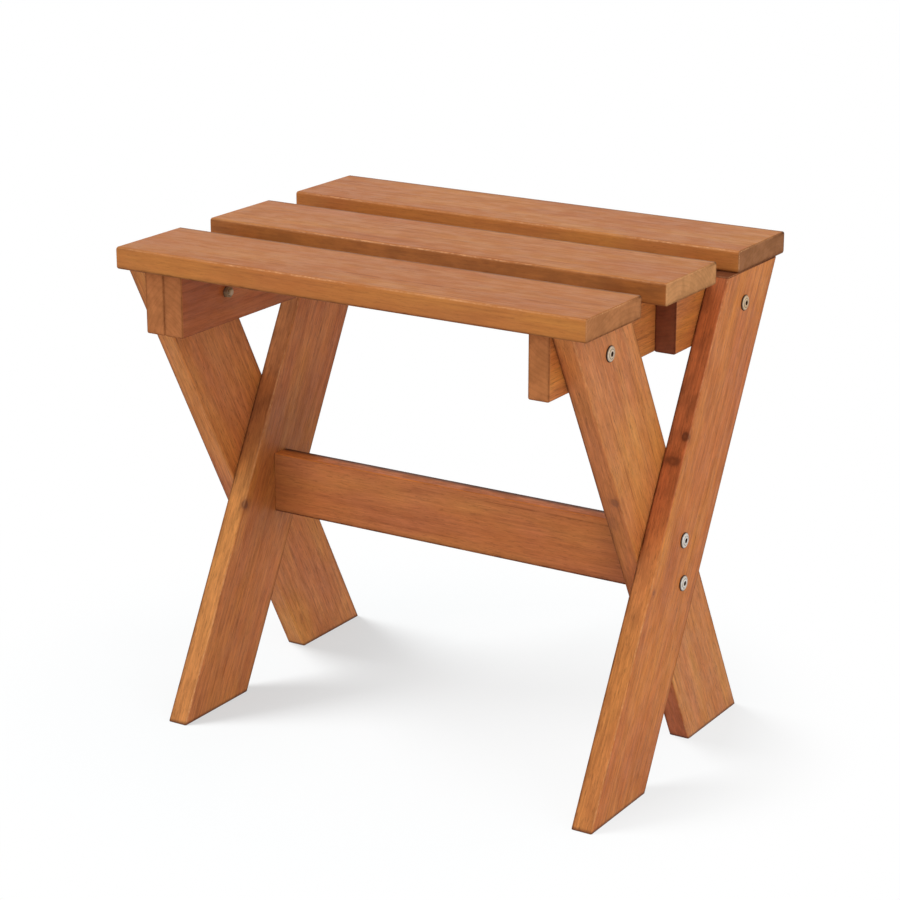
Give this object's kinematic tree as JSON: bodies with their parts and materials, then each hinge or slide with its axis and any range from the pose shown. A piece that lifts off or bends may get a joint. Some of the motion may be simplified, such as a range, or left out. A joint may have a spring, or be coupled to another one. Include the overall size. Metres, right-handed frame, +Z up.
{
  "type": "flower stand",
  "caption": "Wooden flower stand: spaced top planks on bolted crossed-leg end frames, tied by a stretcher, to hold potted plants above the floor.",
  "frame": {"origin": "on the floor, under the middle of the top", "axes": "+X along the planks to the right end, +Y to the rear, +Z up"},
  "size_m": [0.5214, 0.4026, 0.5],
  "materials": {
    "plank_wood": "honey-brown stain under satin varnish",
    "frame_wood": "honey-brown stain under satin varnish",
    "bolt_steel": "bright zinc plating",
    "screw_steel": "dull zinc plating"
  },
  "bodies": {
    "root": {"front_plank": "plank_wood", "middle_plank": "plank_wood", "rear_plank": "plank_wood", "left_bearer": "frame_wood", "left_spacer": "frame_wood", "left_outer_leg": "frame_wood", "left_inner_leg": "frame_wood", "right_bearer": "frame_wood", "right_spacer": "frame_wood", "right_outer_leg": "frame_wood", "right_inner_leg": "frame_wood", "stretcher": "frame_wood", "left_outer_leg_bolt": "bolt_steel", "left_inner_leg_bolt": "bolt_steel", "left_crossing_bolts": "bolt_steel", "left_leg_nuts": "bolt_steel", "left_barrel_nuts": "bolt_steel", "right_outer_leg_bolt": "bolt_steel", "right_inner_leg_bolt": "bolt_steel", "right_crossing_bolts": "bolt_steel", "right_leg_nuts": "bolt_steel", "right_barrel_nuts": "bolt_steel", "left_front_plank_screws": "screw_steel", "left_middle_plank_screws": "screw_steel", "left_rear_plank_screws": "screw_steel", "right_front_plank_screws": "screw_steel", "right_middle_plank_screws": "screw_steel", "right_rear_plank_screws": "screw_steel"}
  },
  "joints": []
}
